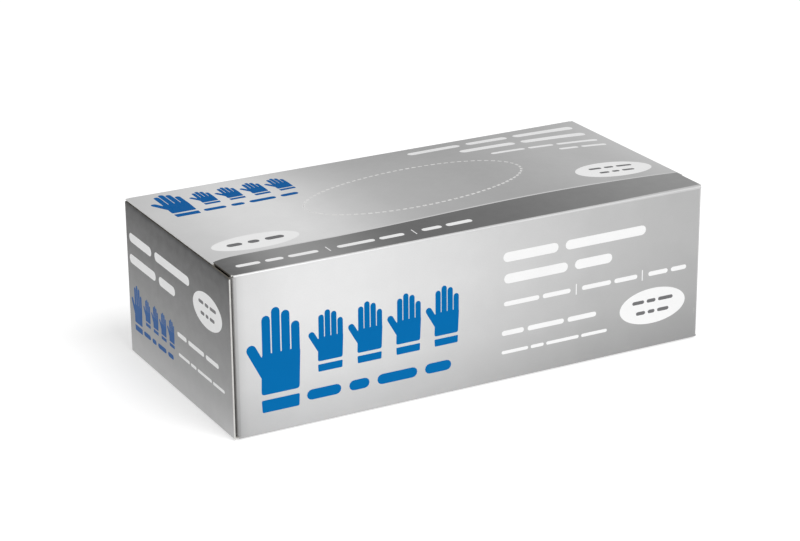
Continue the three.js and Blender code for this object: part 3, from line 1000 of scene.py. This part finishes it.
def make_inner_flap(name, side):
    node = f"{name}_inner_flap"
    low, high = corners_of(node)
    length, taper = high.z - low.z, 2
    inner = Beaded((side * END_X, 0, HEIGHT), OUT * -side, -UP, 0, CREASE)
    left, right = sorted((low.y * -side, high.y * -side))
    start = inner.start()
    corners = [(left, start), (right, start), (right - taper, length), (left + taper, length)]
    margin = [(rectangle(left - 1, right + 1, start - 1, 6), "margin")]
    materials = {**printed(raw_inside), "margin": silver_inner_margin}
    piece = board(f"{name}_inner_board", inner, rounded(corners, [0, 0, 4, 4]), materials, margin)
    hinged(piece, node)


def make_dust_flaps(name, side):
    reach, slant = 42, 21
    for wall, facing in (("front", -1), ("back", 1)):
        node = f"{name}_{wall}_dust_flap"
        corner = (side * (END_X - DUST_DEPTH), facing * SIDE_Y, 0)
        dust = Folded(corner, OUT * -side, BACK * -facing, 0, DUST_CREASE)
        upward = 1 if dust.across[2] > 0 else -1
        first, last = sorted((DUST_LOW * upward, DUST_HIGH * upward))
        corners = [
            (first, dust.start()),
            (last, dust.start()),
            (last, DUST_CREASE + 2),
            (last - slant, reach),
            (first + slant, reach),
            (first, DUST_CREASE + 2),
        ]
        margin = [(rectangle(first - 1, last + 1, dust.start() - 1, 7), "margin")]
        materials = {**printed(raw_inside), "margin": silver_dust_margin}
        outline = rounded(corners, [0, 0, 1.5, 5, 5, 1.5])
        piece = board(f"{name}_{wall}_dust_board", dust, outline, materials, margin)
        hinged(piece, node)


# ---- the gloves ----

GLOVE_LENGTH = 2 * corners_of("glove_01")[1].x
GLOVE_WIDTH = 2 * corners_of("glove_01")[1].y
FILM = 0.27  # a flat glove's thickness: two walls of film
GLOVES_PER_BUNDLE = 5
CUFF_BEAD = 0.28  # radius of the rolled rim
black_film = film("black_nitrile")


def glove_loop():
    """A flat glove, its cuff to the left and its fingers to the right, thumb below."""
    cuff_x, cuff_half = -GLOVE_LENGTH / 2, GLOVE_WIDTH * 0.4
    palm_half, thumb_half = GLOVE_WIDTH * 0.42, GLOVE_WIDTH * 0.11
    knuckle_x, thumb_root_x, thumb_tip_x = (GLOVE_LENGTH * share for share in (0.14, -0.12, 0.12))
    thumb_y = -GLOVE_WIDTH / 2 + thumb_half
    palm_y = GLOVE_WIDTH / 2 - palm_half
    loop = [(cuff_x, palm_y + cuff_half), (cuff_x, palm_y - cuff_half)]
    loop.append((thumb_root_x, thumb_y - thumb_half))
    loop += arc_points((thumb_tip_x - thumb_half, thumb_y), (thumb_half, thumb_half), -90, 90, 8)
    web = (-GLOVE_LENGTH * 0.01, palm_y - palm_half + thumb_half)
    loop += [(web[0] + 3, web[1] - 2.5), (web[0], web[1] + 0.5), (web[0] + 6, web[1] + 2)]
    reach = (0.43, 0.5, 0.47, 0.38)
    pitch = (2 * palm_half - thumb_half) / len(reach)
    half = pitch * 0.46
    for i, share in enumerate(reach):
        y = palm_y - palm_half + thumb_half + pitch * (i + 0.5)
        loop.append((knuckle_x, y - half))
        loop += arc_points((GLOVE_LENGTH * share - half, y), (half, half), -90, 90, 8)
        loop.append((knuckle_x, y + half))
    return loop


def crumple(x, y, depth):
    """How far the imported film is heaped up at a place, from 0 to 1, with sharp soft ridges."""
    slow = noise.noise(Vector((x / 46, y / 30, depth)))
    ridge = 1 - abs(noise.noise(Vector((x / 24 + 0.4 * slow, y / 17, depth + 9)))) * 2.6
    small = 1 - abs(noise.noise(Vector((x / 9, y / 7, depth + 21)))) * 2.4
    return min(1, max(0, 0.2 + 0.35 * slow + 0.6 * max(0, ridge) ** 2 + 0.22 * max(0, small) ** 2))


def dome(x, y):
    """The stack is higher where the lid is pushed up."""
    return math.exp(-(((x - LID_RISE_X) / LID_RISE_REACH) ** 2)) * max(0, 1 - (y / CREASE_Y) ** 2)


class Heap:
    """One mesh that gathers the gloves of a piece."""

    def __init__(self):
        self.points, self.faces, self.pattern = [], [], []

    def add_glove(self, floor, spacing, share, cuff_right, cell, rng):
        """A glove that lies floor high, share of the way up the stack, as a mesh with this cell."""
        turn = rng.uniform(-0.006, 0.006) + (math.pi if cuff_right else 0)
        shift = (rng.uniform(-0.8, 0.8), rng.uniform(-0.8, 0.8))
        loop = stepped(glove_loop(), cell * 1.6)
        half_length, half_width = GLOVE_LENGTH / 2, GLOVE_WIDTH / 2
        grid = [
            (x, y)
            for x in np.arange(-half_length + 2, half_length, cell)
            for y in np.arange(-half_width + 2, half_width, cell)
        ]
        flat, triangles, _ = triangulate(loop, [], [], [], grid)
        seed = rng.uniform(0, 100)
        first = len(self.points)
        heaped = 1.2 * share**2 + 2.6 * max(0, share - 0.9) / 0.1
        lift = 5.0 * share**2
        cos, sin = math.cos(turn), math.sin(turn)
        border = set()
        for triangle in triangles:
            for a, b in zip(triangle, triangle[1:] + triangle[:1]):
                border.symmetric_difference_update([(a, b) if a < b else (b, a)])
        rim = {v for edge in border for v in edge}
        ripple_size = (spacing - FILM) / 2 * 0.9
        tops, unders = [], []
        for i, (u, v) in enumerate(flat):
            x, y = u * cos - v * sin + shift[0], u * sin + v * cos + shift[1]
            ripple = ripple_size * noise.noise(Vector((x / 19, y / 19, seed)))
            height = floor + ripple + heaped * crumple(x, y, 3.3) + lift * dome(x, y)
            half = FILM / 2 * (0.45 if i in rim else 1)
            tops.append((x, y, height + half))
            unders.append((x, y, height - half))
        count = len(flat)
        self.points += tops + unders
        self.pattern += [tuple(p) for p in flat] * 2
        for a, b, c in triangles:
            self.faces.append((first + a, first + b, first + c))
            self.faces.append((first + count + c, first + count + b, first + count + a))
            for p, q in ((a, b), (b, c), (c, a)):
                if (min(p, q), max(p, q)) in border:
                    self.faces.append((first + p, first + p + count, first + q + count, first + q))
        cuff = sorted((i for i in rim if flat[i][0] < -half_length + 0.01), key=lambda i: flat[i][1])
        line = [Vector(tops[i]).lerp(Vector(unders[i]), 0.5) for i in cuff]
        self.add_bead(line, [tuple(flat[i]) for i in cuff])

    def add_bead(self, line, pattern, sides=6):
        """A rolled rim along a line, closed at both ends."""
        first = len(self.points)
        along = (line[-1] - line[0]).normalized()
        across = along.cross(UP).normalized()
        for point, flat in zip(line, pattern):
            for k in range(sides):
                angle = 2 * math.pi * k / sides
                offset = across * math.cos(angle) + UP * math.sin(angle)
                self.points.append(tuple(point + offset * CUFF_BEAD))
                self.pattern.append((flat[0] + k, flat[1]))
        for i in range(len(line) - 1):
            for k in range(sides):
                a, b = first + i * sides + k, first + i * sides + (k + 1) % sides
                self.faces.append((a, b, b + sides, a + sides))
        last = first + (len(line) - 1) * sides
        self.faces.append(tuple(range(first, first + sides))[::-1])
        self.faces.append(tuple(range(last, last + sides)))

    def piece(self, name, node):
        mesh = bpy.data.meshes.new(name)
        mesh.from_pydata([tuple(c * MM for c in p) for p in self.points], [], self.faces)
        layer = mesh.uv_layers.new(name="pattern")
        corners = np.array([self.pattern[v] for face in self.faces for v in face], np.float32)
        layer.data.foreach_set("uv", corners.ravel())
        mesh.polygons.foreach_set("use_smooth", [True] * len(self.faces))
        mesh.materials.append(black_film)
        mesh.update()
        fixed(placed(name, mesh), node)


def make_gloves():
    rng = random.Random(11)
    top = corners_of("glove_10")[1].z
    bundles = sorted(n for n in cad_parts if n.startswith("glove_bundle"))
    singles = sorted(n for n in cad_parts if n.startswith("glove_") and n not in bundles)
    pitch = corners_of(bundles[1])[0].z - corners_of(bundles[0])[0].z
    spacing = pitch / GLOVES_PER_BUNDLE
    for i, node in enumerate(bundles):
        heap = Heap()
        base = corners_of(node)[0].z
        for n in range(GLOVES_PER_BUNDLE):
            floor = base + spacing * (n + 0.5)
            heap.add_glove(floor, spacing, floor / top, i % 2 == 1, 9.0, rng)
        heap.piece(f"packed_gloves_{i + 1:02d}", node)
    pitch = corners_of(singles[1])[0].z - corners_of(singles[0])[0].z
    for i, node in enumerate(singles):
        heap = Heap()
        floor = corners_of(node)[0].z + FILM / 2
        fine = 2.6 if i >= len(singles) - 2 else 5.0
        heap.add_glove(floor, pitch, floor / top, i % 2 == 1, fine, rng)
        heap.piece(f"top_glove_{i + 1:02d}", node)


# ---- lights, floor and camera ----


def make_floor():
    """A white sheet that glows a little, so that the shadow on it stays faint."""
    half, level = 4000, -0.4
    mesh = bpy.data.meshes.new("floor")
    corners = [(x * MM, y * MM, level * MM) for x, y in rectangle(-half, half, -half, half)]
    mesh.from_pydata(corners, [], [(0, 1, 2, 3)])
    material, tree, shader = new_material("floor_paper")
    set_inputs(tree, shader, {"Base Color": grey(0.6), "Roughness": 0.9, "Specular IOR Level": 0.1})
    set_inputs(tree, shader, {"Emission Color": grey(1.0), "Emission Strength": 0.5})
    mesh.materials.append(material)
    placed("floor", mesh)


def make_lights():
    world = bpy.data.worlds.new("studio")
    world.use_nodes = True
    tree = world.node_tree
    set_inputs(tree, tree.nodes["Background"], {"Color": grey(1.0), "Strength": 0.47})
    bpy.context.scene.world = world
    key = bpy.data.lights.new("key", "SUN")
    key.energy = 1.96
    key.angle = math.radians(30)
    lamp = placed("key", key)
    towards = Vector((0.1, -0.33, 0.52))
    lamp.rotation_mode = "QUATERNION"
    lamp.rotation_quaternion = towards.to_track_quat("Z", "Y")


def make_camera():
    """The camera looks from the front left and above, and rolls very slightly."""
    yaw, pitch, roll = (math.radians(a) for a in (-28.17, 20.83, -0.45))
    away, offset = 1149.12, (7.85, -33.99)
    level = math.cos(pitch)
    back = Vector((math.sin(yaw) * level, -math.cos(yaw) * level, math.sin(pitch)))
    right = Vector((math.cos(yaw), math.sin(yaw), 0))
    turned = Matrix((right, back.cross(right), back))
    turned = Matrix.Rotation(-roll, 3, "Z") @ turned
    place = turned.transposed() @ Vector((-offset[0], -offset[1], away))
    camera = bpy.data.cameras.new("camera")
    camera.sensor_width = 36
    camera.lens = 110.52
    camera.clip_start, camera.clip_end = 0.01, 100
    holder = placed("camera", camera)
    holder.matrix_world = Matrix.Translation(place * MM) @ turned.transposed().to_4x4()
    bpy.context.scene.camera = holder
    bpy.context.scene.view_settings.view_transform = "Standard"


make_camera()
make_lights()
make_floor()
make_lid()
make_walls()
make_base()
for end, end_side in (("left", -1), ("right", 1)):
    make_outer_flap(end, end_side)
    make_inner_flap(end, end_side)
    make_dust_flaps(end, end_side)
make_glue()
make_gloves()
